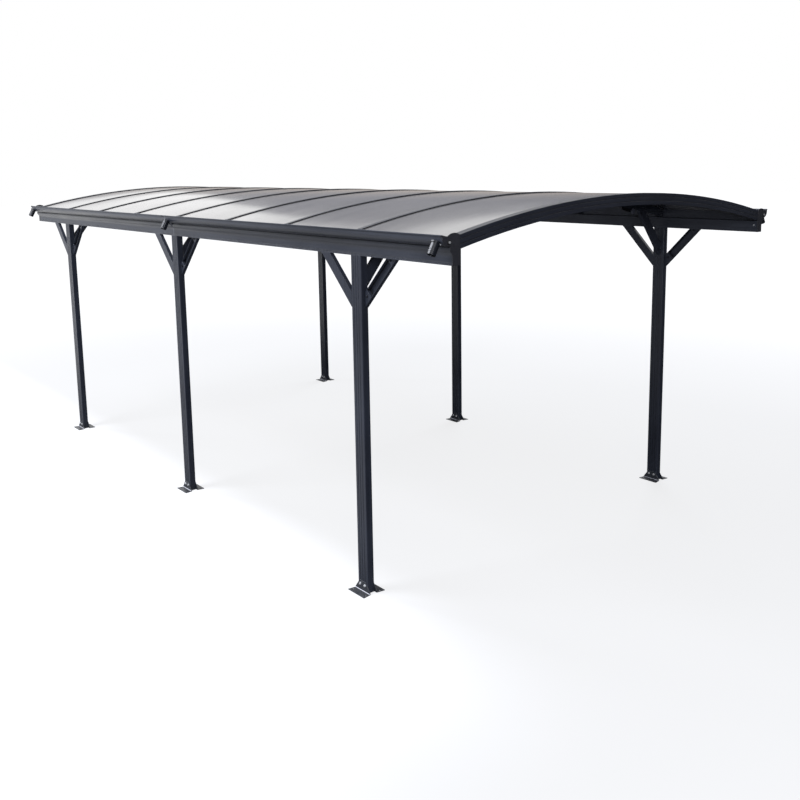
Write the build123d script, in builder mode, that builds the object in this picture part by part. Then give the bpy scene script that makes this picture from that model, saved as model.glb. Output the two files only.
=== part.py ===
from build123d import *
import math
import os

# Arched carport: six posts, two gutter beams, nine roof arches and eight curved sheets.
# Millimetres. +Z is up, +Y runs along the length, and the front end is at -Y.
# The origin is on the ground, under the middle of the roof.

os.makedirs("parts", exist_ok=True)

# Plan of the frame
panel_pitch = 710.0          # from one roof arch to the next
panels_between_posts = 3
panels_past_end_posts = 1
post_line = 2690.0           # between the centres of the left and right posts
beam_past_last_arch = 30.0   # beam end beyond the centre of the last arch

# Heights
beam_underside = 1865.0
beam_height = 145.0
arch_seat_drop = 8.0         # top of an arch at its ends, below the top of the beams
arch_rise = 152.0            # crest of an arch above its ends

# Posts
post_width = 44.0            # across the carport
post_depth = 86.0            # along the carport
post_wall = 2.2
post_bevel = 2.5
flute_width = 5.0
flute_depth = 1.0
flute_count = 3
flute_spacing = 20.0

# Feet
foot_length = 146.0          # across the carport
foot_width = 144.0           # along the carport, at the outer edges
foot_fold_width = 130.0      # along the carport, at the folds
foot_fold_radius = 4.0
foot_plate = 4.0
foot_ear_base = 10.0         # height at which an ear starts to narrow
foot_ear_height = 60.0
foot_ear_top = 56.0          # along the carport, at the top of an ear
anchor_hole = 11.0
anchor_spacing_x = 98.0
anchor_spacing_y = 116.0

# Gutter beams
beam_wall = 2.5
web_height = 40.0            # upright web at the bottom of the beam
bead_depth = 1.2             # two fine grooves along the foot of the web
bead_height = 2.0
bead_heights = (8.0, 15.0)
cove_reach = 16.0            # how far the S-curve above the web leans out
cove_top = 80.0
strip_height = 4.0           # upright strip above the S-curve
shadow_depth = 3.0           # groove under the trough
shadow_height = 4.0
trough_drop = 55.0           # underside of the trough, below the top of the beam
trough_reach = 63.0          # outer side of the trough, out from the web
trough_round = 40.0
lip_reach = 4.0
lip_height = 6.0
arch_wall_inset = 30.0       # wall that the arches butt against, inside of the web
beam_seam = 1.0              # half of the gap between two lengths of beam
splice_length = 220.0

# End caps of the beams
cap_thickness = 3.0
cap_crown = 6.0              # crown of the cap above the top of the beam
cap_dip = 8.0                # lowest place of its top edge, inside of the lip
cap_dip_reach = 31.0         # that place, out from the web
cap_overlap = 4.0            # cap beyond the inner web
cap_shoulder = 4.0           # its inner corner, below the top of the beam

# Spouts
spout_radius = 21.0
spout_wall = 2.0
spout_length = 67.0
spout_lean = 28.0            # off the vertical
spout_root_angle = 27.0      # place on the round of the trough, below level
spout_from_end = 44.0
spout_from_seam = 24.0
collar_rim = 5.0             # collar beyond the tube
collar_height = 7.0

# Roof arches and sheets
arch_width = 30.0
arch_body = 38.0
arch_depth = 62.0
end_arch_width = 48.0
end_arch_depth = 65.0
groove_depth = 1.5           # two grooves along the outer face of an end arch
groove_height = 3.0
groove_drops = (20.0, 43.0)
cap_strip = 5.0
core_width = 10.0
sheet_thickness = 4.0
sheet_edge_gap = 1.0         # between the core of an arch and the edge of a sheet
sheet_overhang = 13.0        # sheet beyond the wall that carries it

# Braces
brace_width = 56.0
brace_flange = 24.0
brace_wall = 2.5
brace_foot = 58.0            # solid lower end, along the brace
brace_head = 26.0            # solid upper end
side_brace_run = 272.0       # from the centre of the post, along the beam
side_brace_drop = 236.0
cross_brace_run = 215.0      # from the post's inner face
cross_brace_drop = 150.0     # lower end below the beam

# Derived places
half_line = post_line / 2
web_x = half_line + post_width / 2
inner_web_x = half_line - post_width / 2
wall_x = web_x - arch_wall_inset
trough_x = web_x + trough_reach
round_x = trough_x - trough_round
beam_top = beam_underside + beam_height
trough_floor = beam_top - trough_drop
round_z = trough_floor + trough_round
post_spacing = panel_pitch * panels_between_posts
arch_count = 2 * (panels_between_posts + panels_past_end_posts) + 1
last_arch = panel_pitch * (arch_count - 1) / 2
beam_end = last_arch + beam_past_last_arch
roof_radius = (wall_x ** 2 + arch_rise ** 2) / (2 * arch_rise)
roof_axis = beam_top - arch_seat_drop + arch_rise - roof_radius
sheet_outer = roof_radius - cap_strip
sheet_inner = sheet_outer - sheet_thickness
sheet_reach = wall_x + sheet_overhang
post_rows = {"front": -post_spacing, "middle": 0.0, "rear": post_spacing}
sides = {"left": -1, "right": 1}


def arc_height(radius, x):
    """Height of a roof curve of this radius, at x from the middle."""
    return roof_axis + math.sqrt(radius ** 2 - x ** 2)


shelf_height = arc_height(roof_radius - end_arch_depth, wall_x)
wall_top = arc_height(sheet_inner, wall_x + beam_wall)


def arch_plane(y, angle):
    """Plane through the roof axis, turned by angle to the left; its y points outward."""
    lean = math.radians(angle)
    normal = (math.cos(lean), 0, math.sin(lean))
    return Plane(origin=(0, y, roof_axis), x_dir=(0, 1, 0), z_dir=normal)


def save(builder, name):
    """Label a finished piece and write it."""
    builder.part.label = name
    export_step(builder.part, "parts/" + name + ".step")


def web_and_cove(inset, foot_height):
    """Draw the outer side of the left beam, up to the top of its S-curve."""
    web = -web_x + inset
    web_top = (web, beam_underside + web_height)
    cove_end = (web - cove_reach, beam_underside + cove_top)
    middle = ((web_top[0] + cove_end[0]) / 2, (web_top[1] + cove_end[1]) / 2)
    Line((web, beam_underside + foot_height), web_top)
    TangentArc(web_top, middle, tangent=(0, 1))
    TangentArc(cove_end, middle, tangent=(0, -1))
    return cove_end


def trough_side(inset, height):
    """Draw the outer side of the left trough, from its floor up to this height."""
    radius = trough_round - inset
    CenterArc((-round_x, round_z), radius, 180, 90)
    Line((-round_x - radius, round_z), (-round_x - radius, height))
    return -round_x - radius


def outer_side():
    """Draw the whole outer side of the left beam, and return its two ends."""
    strip, floor = web_and_cove(0, 0)
    neck = strip + shadow_depth
    Polyline((strip, floor), (strip, floor + strip_height), (neck, trough_floor - shadow_height),
             (neck, trough_floor), (-round_x, trough_floor))
    side = trough_side(0, beam_top - lip_height)
    lip = (side - lip_reach, beam_top)
    Polyline((side, beam_top - lip_height), (lip[0], beam_top - lip_height), lip)
    return (-web_x, beam_underside), lip


def beam_profile():
    """Whole outline of the left beam, filled, with the trough closed at the top."""
    with BuildLine() as line:
        foot, lip = outer_side()
        Polyline(lip, (-wall_x, beam_top), (-wall_x, shelf_height),
                 (-inner_web_x, shelf_height), (-inner_web_x, beam_underside), foot)
    return line.edges()


def cap_profile():
    """Outline of the left beam's end cap, crowned over the end of the arch."""
    corner = -inner_web_x + cap_overlap
    dip = (-web_x - cap_dip_reach, beam_top - cap_dip)
    with BuildLine() as line:
        foot, lip = outer_side()
        Line(lip, dip)
        ThreePointArc(dip, (-half_line, beam_top + cap_crown), (corner, beam_top - cap_shoulder))
        Polyline((corner, beam_top - cap_shoulder), (corner, beam_underside), foot)
    return line.edges()


def trough_hollow():
    """Rain trough of the left beam, open at the top."""
    floor = trough_floor + beam_wall
    inner = -wall_x - beam_wall
    above = beam_top + beam_wall
    with BuildLine() as line:
        side = trough_side(beam_wall, above)
        Polyline((side, above), (inner, above), (inner, floor), (-round_x, floor))
    return line.edges()


def box_hollow():
    """Closed chamber of the left beam, under the trough."""
    floor = beam_underside + beam_wall
    inner = -inner_web_x - beam_wall
    shelf = shelf_height - beam_wall
    with BuildLine() as line:
        strip, height = web_and_cove(beam_wall, beam_wall)
        neck = strip + shadow_depth
        Polyline((strip, height), (neck, height + beam_wall), (neck, trough_floor),
                 (-wall_x - beam_wall, trough_floor), (-wall_x - beam_wall, shelf), (inner, shelf),
                 (inner, floor), (-web_x + beam_wall, floor))
    return line.edges()


# Gutter beams, in two lengths on each side
for end, start in {"front": beam_seam, "rear": -beam_end}.items():
    with BuildPart() as beam:
        with BuildSketch(Plane.XZ.offset(start)):
            make_face(beam_profile())
            make_face(trough_hollow(), mode=Mode.SUBTRACT)
            make_face(box_hollow(), mode=Mode.SUBTRACT)
            for height in bead_heights:
                with Locations((-web_x, beam_underside + height)):
                    Rectangle(2 * bead_depth, bead_height, mode=Mode.SUBTRACT)
            with Locations((-wall_x - beam_wall / 2, (wall_top + beam_top) / 2)):
                Rectangle(2 * beam_wall, beam_top - wall_top, mode=Mode.SUBTRACT)
        extrude(amount=beam_end - beam_seam)
    save(beam, "left_beam_" + end)
    with BuildPart() as other_beam:
        mirror(beam.part, about=Plane.YZ)
    save(other_beam, "right_beam_" + end)

# Splices inside the chamber, across the seam between the two lengths
with BuildPart() as beam_splices:
    with BuildSketch(Plane.XZ.offset(-splice_length / 2)):
        with Locations((-web_x + beam_wall * 1.5, beam_underside + web_height / 2 + beam_wall / 2)):
            Rectangle(beam_wall, web_height - beam_wall)
    extrude(amount=splice_length)
    mirror(about=Plane.YZ)
save(beam_splices, "beam_splices")

# End caps that close the beams
with BuildPart() as beam_end_caps:
    with BuildSketch(Plane.XZ.offset(beam_end)):
        make_face(cap_profile())
    extrude(amount=cap_thickness)
    mirror(about=Plane.XZ)
    mirror(about=Plane.YZ)
save(beam_end_caps, "beam_end_caps")

# Posts: hollow, with flutes down the outer and inner faces
for row, y in post_rows.items():
    for side, sign in sides.items():
        with BuildPart() as post:
            with BuildSketch(Plane.XY.offset(foot_plate)):
                with Locations((sign * half_line, y)):
                    Rectangle(post_width, post_depth)
                    chamfer(vertices(), post_bevel)
                    Rectangle(post_width - 2 * post_wall - 2 * flute_depth,
                              post_depth - 2 * post_wall, mode=Mode.SUBTRACT)
                    with GridLocations(post_width, flute_spacing, 2, flute_count):
                        Rectangle(2 * flute_depth, flute_width, mode=Mode.SUBTRACT)
            extrude(amount=beam_underside - foot_plate)
        save(post, row + "_" + side + "_post")

# Feet: a folded plate, waisted under the post, with two ears that grip the post
fold_x = post_width / 2 + foot_plate
for row, y in post_rows.items():
    for side, sign in sides.items():
        with BuildPart() as foot:
            with BuildSketch(Plane(origin=(sign * half_line, y, 0))):
                with BuildLine():
                    Polyline((0, post_depth / 2), (post_width / 2, post_depth / 2),
                             (post_width / 2, foot_fold_width / 2), (fold_x, foot_fold_width / 2),
                             (foot_length / 2, foot_width / 2), (foot_length / 2, 0))
                    mirror(about=Plane.XZ)
                    mirror(about=Plane.YZ)
                make_face()
                with GridLocations(anchor_spacing_x, anchor_spacing_y, 2, 2):
                    Circle(anchor_hole / 2, mode=Mode.SUBTRACT)
            extrude(amount=foot_plate)
            for face in (-1, 1):
                ear = sign * half_line + face * (post_width / 2 + foot_plate / 2)
                with BuildSketch(Plane.YZ.offset(ear)):
                    with BuildLine():
                        Polyline((y - foot_fold_width / 2, 0), (y + foot_fold_width / 2, 0),
                                 (y + foot_fold_width / 2, foot_ear_base),
                                 (y + foot_ear_top / 2, foot_ear_height),
                                 (y - foot_ear_top / 2, foot_ear_height),
                                 (y - foot_fold_width / 2, foot_ear_base), close=True)
                    make_face()
                extrude(amount=foot_plate / 2, both=True)
                fold = sign * half_line + face * fold_x
                fold_low = (fold + face * foot_fold_radius, foot_plate)
                fold_high = (fold, foot_plate + foot_fold_radius)
                with BuildSketch(Plane.XZ.offset(-y)):
                    with BuildLine():
                        Polyline(fold_high, (fold, foot_plate), fold_low)
                        TangentArc(fold_low, fold_high, tangent=(-face, 0))
                    make_face()
                extrude(amount=foot_fold_width / 2, both=True)
        save(foot, row + "_" + side + "_foot")

# Roof arches: a body that the sheets lie on, a core between them and a cap over their edges
reach_angle = math.degrees(math.asin((wall_x + beam_wall) / (roof_radius - end_arch_depth)))
for number in range(arch_count):
    y = -last_arch + number * panel_pitch
    name = "inner_arch_" + str(number)
    with BuildPart() as arch:
        with BuildSketch(arch_plane(y, reach_angle)):
            if number in (0, arch_count - 1):
                name = "front_arch" if number == 0 else "rear_arch"
                out = -1 if number == 0 else 1
                edge = out * beam_past_last_arch
                middle = edge - out * end_arch_width / 2
                core = beam_past_last_arch + core_width / 2
                with Locations((middle, (sheet_inner + roof_radius - end_arch_depth) / 2)):
                    Rectangle(end_arch_width, sheet_inner - roof_radius + end_arch_depth)
                with Locations((edge - out * core / 2, (sheet_inner + roof_radius) / 2)):
                    Rectangle(core, roof_radius - sheet_inner)
                with Locations((middle, roof_radius - cap_strip / 2)):
                    Rectangle(end_arch_width, cap_strip)
                for drop in groove_drops:
                    with Locations((edge, roof_radius - drop)):
                        Rectangle(2 * groove_depth, groove_height, mode=Mode.SUBTRACT)
            else:
                with Locations((0, (sheet_inner + roof_radius - arch_depth) / 2)):
                    Rectangle(arch_body, sheet_inner - roof_radius + arch_depth)
                with Locations((0, (sheet_inner + roof_radius) / 2)):
                    Rectangle(core_width, roof_radius - sheet_inner)
                with Locations((0, roof_radius - cap_strip / 2)):
                    Rectangle(arch_width, cap_strip)
        revolve(axis=Axis((0, y, roof_axis), (0, 1, 0)), revolution_arc=2 * reach_angle)
        split(bisect_by=Plane.YZ.offset(wall_x), keep=Keep.BOTTOM)
        split(bisect_by=Plane.YZ.offset(-wall_x), keep=Keep.TOP)
    save(arch, name)

# Curved roof sheets
sheet_angle = math.degrees(math.asin(sheet_reach / sheet_outer))
for number in range(1, arch_count):
    y = -last_arch + (number - 0.5) * panel_pitch
    with BuildPart() as sheet:
        with BuildSketch(arch_plane(y, sheet_angle)):
            with Locations((0, (sheet_inner + sheet_outer) / 2)):
                Rectangle(panel_pitch - core_width - 2 * sheet_edge_gap, sheet_thickness)
        revolve(axis=Axis((0, y, roof_axis), (0, 1, 0)), revolution_arc=2 * sheet_angle)
    save(sheet, "roof_sheet_" + str(number))


def channel(low, high, open_side):
    """Straight channel with solid ends, run on past low and high, open towards open_side."""
    run = high - low
    across = open_side.cross(run)
    with BuildPart() as strut:
        with BuildSketch(Plane(origin=low - run, x_dir=across, z_dir=run)):
            Rectangle(brace_width, brace_flange)
        extrude(amount=3 * run.length)
        with BuildSketch(Plane(origin=low + run.normalized() * brace_foot, x_dir=across, z_dir=run)):
            with Locations((0, brace_wall)):
                Rectangle(brace_width - 2 * brace_wall, brace_flange)
        extrude(amount=run.length - brace_foot - brace_head, mode=Mode.SUBTRACT)
    return strut.part


def side_brace(sign, y, lean):
    """Brace from the post up to the beam, leaning to the front (-1) or the rear (1)."""
    x = sign * half_line - lean * (post_width - brace_flange) / 2
    low = Vector(x, y + lean * post_depth / 2, beam_underside - side_brace_drop)
    high = Vector(x, y + lean * side_brace_run, beam_underside)
    post_face = Plane(origin=low, x_dir=(1, 0, 0), z_dir=(0, lean, 0))
    with BuildPart() as strut:
        add(channel(low, high, Vector(lean, 0, 0)))
        split(bisect_by=post_face, keep=Keep.TOP)
        split(bisect_by=Plane.XY.offset(beam_underside), keep=Keep.BOTTOM)
    return strut.part


def cross_brace(sign, y):
    """Brace from the post's inner face up to the underside of the arch."""
    low = Vector(sign * inner_web_x, y, beam_underside - cross_brace_drop)
    high_x = inner_web_x - cross_brace_run
    high = Vector(sign * high_x, y, arc_height(roof_radius - arch_depth, high_x))
    post_face = Plane(origin=low, x_dir=(0, 1, 0), z_dir=(-sign, 0, 0))
    with BuildPart() as strut:
        add(channel(low, high, Vector(0, 1, 0)))
        split(bisect_by=post_face, keep=Keep.TOP)
        with BuildSketch(Plane.XZ.offset(-y)):
            with Locations((0, roof_axis)):
                Circle(roof_radius - arch_depth)
        extrude(amount=brace_flange, both=True, mode=Mode.INTERSECT)
    return strut.part


# Braces: three channels at each post, two along the beam and one across to the arch
for row, y in post_rows.items():
    for side, sign in sides.items():
        with BuildPart() as braces:
            add(side_brace(sign, y, -1))
            add(side_brace(sign, y, 1))
            add(cross_brace(sign, y))
        save(braces, row + "_" + side + "_braces")

# Spouts that drain the beams: a tube with a collar, out and down from the round of the trough
root = math.radians(spout_root_angle)
lean = math.radians(spout_lean)
root_x = round_x + trough_round * math.cos(root)
root_z = round_z - trough_round * math.sin(root)
upward = Vector(math.sin(lean), 0, math.cos(lean))
with BuildPart() as gutter_spouts:
    for spout_y in (-beam_end + spout_from_end, -spout_from_seam, beam_end - spout_from_end):
        head = Vector(-root_x, spout_y, root_z)
        with BuildSketch(Plane(origin=head - upward * spout_length, x_dir=(0, 1, 0), z_dir=upward)):
            Circle(spout_radius)
        extrude(amount=spout_length)
        with BuildSketch(Plane(origin=head, x_dir=(0, 1, 0), z_dir=upward)):
            Circle(spout_radius + collar_rim)
        extrude(amount=-collar_height)
        with BuildSketch(Plane(origin=head - upward * spout_length, x_dir=(0, 1, 0), z_dir=upward)):
            Circle(spout_radius - spout_wall)
        extrude(amount=spout_length - spout_wall, mode=Mode.SUBTRACT)
    with BuildSketch(Plane.XZ.offset(-beam_end)):
        make_face(beam_profile())
    extrude(amount=2 * beam_end, mode=Mode.SUBTRACT)
    mirror(about=Plane.YZ)
save(gutter_spouts, "gutter_spouts")
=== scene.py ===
# %% [markdown]
# An arched carport, dressed for its picture.
# The frame and the roof come from the CAD model, at their real size and place. What is left for
# Blender is the camera, the light, the finishes and the small hardware: bolts, screws, gaskets,
# brackets and sealed joints. Everything is in metres, +Z is up, and the front end is at -Y.

# %% Load the frame
import bpy
import math
from mathutils import Matrix, Vector


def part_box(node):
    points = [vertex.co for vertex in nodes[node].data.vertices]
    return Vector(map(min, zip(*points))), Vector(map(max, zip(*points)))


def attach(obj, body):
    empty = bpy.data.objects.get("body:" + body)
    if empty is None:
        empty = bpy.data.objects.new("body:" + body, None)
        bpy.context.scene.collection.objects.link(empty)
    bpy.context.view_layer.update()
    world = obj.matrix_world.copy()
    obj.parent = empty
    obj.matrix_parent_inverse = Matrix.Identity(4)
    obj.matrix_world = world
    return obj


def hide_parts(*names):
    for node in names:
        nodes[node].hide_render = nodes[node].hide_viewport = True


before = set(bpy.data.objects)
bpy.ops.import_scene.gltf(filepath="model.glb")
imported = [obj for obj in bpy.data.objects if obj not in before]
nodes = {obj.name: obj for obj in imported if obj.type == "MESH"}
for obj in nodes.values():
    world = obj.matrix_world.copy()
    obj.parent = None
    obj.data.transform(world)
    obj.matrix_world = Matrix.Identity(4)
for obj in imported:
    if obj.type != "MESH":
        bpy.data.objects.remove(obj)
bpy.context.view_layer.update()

bpy.context.scene.view_settings.view_transform = "Standard"

# %% [markdown]
# The camera comes first, because every other choice is judged through it. The photograph was
# taken from beyond the front left corner, a little above the crest of the roof, with the camera
# tipped about nine degrees down. The lens is a normal one, of about 40 mm. Its axis meets the
# picture above the middle, which a vertical shift repeats. The numbers were fitted to the corners
# of the frame.

# %% Camera
picture_width = 800.0        # pixels
focal_pixels = 892.5
axis_row = 307.9             # row of the picture that the lens axis meets, from the top
camera_place = Vector((-4.140, -5.857, 2.316))
camera_yaw = math.radians(39.46)     # from +Y towards +X
camera_pitch = math.radians(8.96)    # downward
camera_roll = math.radians(-0.90)


def camera_axes(yaw, pitch, roll):
    """The camera's right, up and forward directions."""
    forward = Vector((math.sin(yaw) * math.cos(pitch), math.cos(yaw) * math.cos(pitch), -math.sin(pitch)))
    level = Vector((math.cos(yaw), -math.sin(yaw), 0))
    upward = level.cross(forward)
    right = math.cos(roll) * level + math.sin(roll) * upward
    return right, right.cross(forward), forward


right, upward, forward = camera_axes(camera_yaw, camera_pitch, camera_roll)
lens = bpy.data.cameras.new("camera")
lens.sensor_width = 36.0
lens.lens = focal_pixels / picture_width * lens.sensor_width
lens.shift_y = (axis_row - picture_width / 2) / picture_width
lens.clip_end = 200.0
camera = bpy.data.objects.new("camera", lens)
camera.matrix_world = Matrix((right, upward, -forward)).transposed().to_4x4()
camera.location = camera_place
bpy.context.collection.objects.link(camera)
bpy.context.scene.camera = camera
print("lens", round(lens.lens, 2), "mm, shift", round(lens.shift_y, 4))

# %% [markdown]
# Materials are built from nodes. One helper adds a node with its settings and its links, and one
# turns a colour, written as a web hex value, into the linear numbers that the shader needs.


# %% Helpers for materials
def colour(text):
    """Linear RGBA of an sRGB hex colour."""
    parts = [int(text[i:i + 2], 16) / 255 for i in (1, 3, 5)]
    return [p / 12.92 if p <= 0.04045 else ((p + 0.055) / 1.055) ** 2.4 for p in parts] + [1.0]


def node(tree, kind, settings=None, **inputs):
    """Add a node; an input given as a socket is linked, and any other value is set."""
    made = tree.nodes.new(kind)
    for key, value in (settings or {}).items():
        setattr(made, key, value)
    for key, value in inputs.items():
        numbered = key.startswith("in") and key[2:].isdigit()
        socket = made.inputs[int(key[2:])] if numbered else made.inputs[key.replace("_", " ")]
        if isinstance(value, bpy.types.NodeSocket):
            tree.links.new(value, socket)
        else:
            socket.default_value = value
    return made


def material(name):
    """A new material with an empty node tree and its output node."""
    made = bpy.data.materials.new(name)
    made.use_nodes = True
    made.node_tree.nodes.clear()
    return made, made.node_tree, made.node_tree.nodes.new("ShaderNodeOutputMaterial")


millimetre = 0.001
in_colour = {"data_type": "RGBA"}     # settings of a Mix node whose inputs 6 and 7 are colours
times = {"operation": "MULTIPLY"}


def per_size(size):
    """Noise scale whose features are about this many millimetres across."""
    return 1.0 / (size * millimetre)


print("noise scale for 10 mm", round(per_size(10), 1), "mid grey", round(colour("#808080")[0], 3))

# %% [markdown]
# The frame is extruded aluminium with a dark grey polyester powder coat, baked on. Such a coat
# is satin, a little uneven like the skin of an orange, and it gathers pale dust on what faces up.
# The grain of the real coat is finer than a pixel, so it is drawn coarser, and edges are rounded
# in the shading alone, where the coat draws back from a sharp corner and looks a little lighter.
# An extrusion also keeps faint lines along its length from the die, which a stretched noise gives.
# Shade is painted into grooves: an occlusion node darkens them, strongly in the narrow flutes of
# the posts, and hardly at all on the wide faces of the beams. The bars between the roof sheets
# shine with the sky at a low angle, so their coat is glossier than that of the two end arches.
# The feet are folded steel, and a pale highlight is painted along their folds.


# %% Layers of the powder coat
edge_radius = 2.0 * millimetre
# reach of the occlusion that paints shade into grooves
groove_shade_reach = 7.0 * millimetre


def drawn_colour(tree, place, cloud, base, light, run):
    """The coat's two colours, mixed by a slow cloud and by die lines that run stretches."""
    stretched = node(tree, "ShaderNodeMapping", Vector=place, Scale=run)
    drawn = node(tree, "ShaderNodeTexNoise", Vector=stretched.outputs["Vector"], Scale=per_size(11),
                 Detail=3.0)
    mixed = node(tree, "ShaderNodeMix", Factor=0.45, in2=cloud.outputs["Fac"], in3=drawn.outputs["Fac"])
    spread = node(tree, "ShaderNodeMapRange", Value=mixed.outputs[0], in1=0.38, in2=0.62)
    return node(tree, "ShaderNodeMix", in_colour, Factor=spread.outputs["Result"],
                in6=colour(base), in7=colour(light)).outputs[2]


def pale_edges(tree, under, round_edge, flat, edge):
    """Paler where the rounded normal leaves the flat one, so along every sharp corner."""
    agree = node(tree, "ShaderNodeVectorMath", {"operation": "DOT_PRODUCT"},
                 in0=round_edge.outputs["Normal"], in1=flat.outputs["Normal"])
    corner = node(tree, "ShaderNodeMapRange", Value=agree.outputs["Value"], in1=0.98, in2=0.75)
    return node(tree, "ShaderNodeMix", in_colour, Factor=corner.outputs["Result"],
                in6=under, in7=colour(edge)).outputs[2]


def painted_groove_shade(tree, under, depth):
    """Painted shade: darker where walls stand closer than a few millimetres."""
    groove = node(tree, "ShaderNodeAmbientOcclusion", {"samples": 6, "only_local": True},
                  Distance=groove_shade_reach)
    groove_shade = node(tree, "ShaderNodeMapRange", Value=groove.outputs["AO"], in1=depth, in2=0.98)
    return node(tree, "ShaderNodeMix", in_colour, Factor=groove_shade.outputs["Result"],
                in6=colour("#08090C"), in7=under).outputs[2]


def dusted(tree, under, place, facing):
    """Pale dust in small clouds on what faces up."""
    dust_cloud = node(tree, "ShaderNodeTexNoise", Vector=place, Scale=per_size(60), Detail=5.0)
    dust = node(tree, "ShaderNodeMath", times, in0=facing.outputs["Z"], in1=dust_cloud.outputs["Fac"])
    dusty = node(tree, "ShaderNodeMapRange", Value=dust.outputs["Value"], in1=0.25, in2=0.9,
                 in3=0.0, in4=0.22)
    return node(tree, "ShaderNodeMix", in_colour, Factor=dusty.outputs["Result"],
                in6=under, in7=colour("#8A8780")).outputs[2]


def painted_fold_highlight(tree, under, facing, fold_highlight):
    """Painted highlight: pale where a bent plate faces up and sideways at once, as a glint on a fold."""
    aside = node(tree, "ShaderNodeMath", {"operation": "ABSOLUTE"}, in0=facing.outputs["X"])
    slant = node(tree, "ShaderNodeMath", times, in0=facing.outputs["Z"], in1=aside.outputs[0])
    highlight_band = node(tree, "ShaderNodeMapRange", Value=slant.outputs[0], in1=0.15, in2=0.40)
    return node(tree, "ShaderNodeMix", in_colour, Factor=highlight_band.outputs["Result"],
                in6=under, in7=colour(fold_highlight)).outputs[2]


print("edge radius", edge_radius, "groove reach", groove_shade_reach)


# %% Powder coat
def powder_coat(name, base, light, roughness, edge, run, depth=0.70, fold_highlight=None):
    """Baked powder on metal; run stretches the die lines, depth sets the painted shade in grooves, and the
    fold colour is a painted highlight along bends.
    """
    made, tree, output = material(name)
    place = node(tree, "ShaderNodeTexCoord").outputs["Object"]
    grain = node(tree, "ShaderNodeTexNoise", Vector=place, Scale=per_size(9), Detail=3.0)
    cloud = node(tree, "ShaderNodeTexNoise", Vector=place, Scale=per_size(420), Detail=4.0)
    round_edge = node(tree, "ShaderNodeBevel", {"samples": 4}, Radius=edge_radius)
    flat = node(tree, "ShaderNodeNewGeometry")
    facing = node(tree, "ShaderNodeSeparateXYZ", Vector=flat.outputs["Normal"])
    tint = drawn_colour(tree, place, cloud, base, light, run)
    tint = pale_edges(tree, tint, round_edge, flat, edge)
    # painted shade in the grooves
    tint = painted_groove_shade(tree, tint, depth)
    tint = dusted(tree, tint, place, facing)
    # a fold colour paints a highlight along the bends
    if fold_highlight:
        tint = painted_fold_highlight(tree, tint, facing, fold_highlight)
    gloss = node(tree, "ShaderNodeMapRange", Value=cloud.outputs["Fac"], in1=0.3, in2=0.7,
                 in3=roughness - 0.04, in4=roughness + 0.06)
    peel = node(tree, "ShaderNodeBump", Height=grain.outputs["Fac"], Strength=0.06,
                Distance=0.4 * millimetre, Normal=round_edge.outputs["Normal"])
    shader = node(tree, "ShaderNodeBsdfPrincipled", Base_Color=tint,
                  Roughness=gloss.outputs["Result"], Normal=peel.outputs["Normal"])
    tree.links.new(shader.outputs["BSDF"], output.inputs["Surface"])
    return made


across_frame = (0.02, 1.0, 1.0)
along_frame = (1.0, 0.02, 1.0)
up_frame = (1.0, 1.0, 0.02)
no_run = (1.0, 1.0, 1.0)
post_coat = powder_coat("powder_coated_posts", "#262932", "#31353F", roughness=0.36, edge="#4C505A",
                        run=up_frame, depth=0.80)
# The beams wear the same coat as the posts; their lighter tones are painted light.
beam_coat_painted_lighter = powder_coat("powder_coated_beams", "#2B2E36", "#3B3E46", roughness=0.34, edge="#4A4E57",
                        run=along_frame, depth=0.30)
arch_coat = powder_coat("powder_coated_arches", "#1F2129", "#272A33", roughness=0.44, edge="#353841",
                        run=across_frame)
bar_coat = powder_coat("powder_coated_roof_bars", "#23262E", "#2E313A", roughness=0.20, edge="#3C3F48",
                       run=across_frame)
# the feet's fold colour is a painted highlight along their bends
foot_coat = powder_coat("powder_coated_steel", "#2E3035", "#3A3C40", roughness=0.34, edge="#5C5E64",
                        run=no_run, fold_highlight="#D2D0D2")
print("coat nodes", len(post_coat.node_tree.nodes))

# %% [markdown]
# The roof is smoked polycarbonate: extruded as a clear sheet with a grey brown dye, and bent cold
# between the arches. It is glossy on both of its faces, so at a low angle it shows the sky more
# than its own colour. The coat of the shader stands for the second face, and a small transmission
# for the little light that the dye lets through. Each sheet also bows up a few millimetres between
# two arches, which breaks the reflection into one step per sheet. The bow is a bump: a parabola
# across every bay. The extruder leaves faint lines from gutter to gutter, and rain leaves pale
# streaks and specks along the same way.

# %% The bays of the roof
front_low, front_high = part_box("inner_arch_1")
bay_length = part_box("inner_arch_2")[0].y - front_low.y
bay_start = (front_low.y + front_high.y) / 2
sheet_bow = 3.0 * millimetre
print("bay", round(bay_length, 4), "from", round(bay_start, 4))


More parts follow.
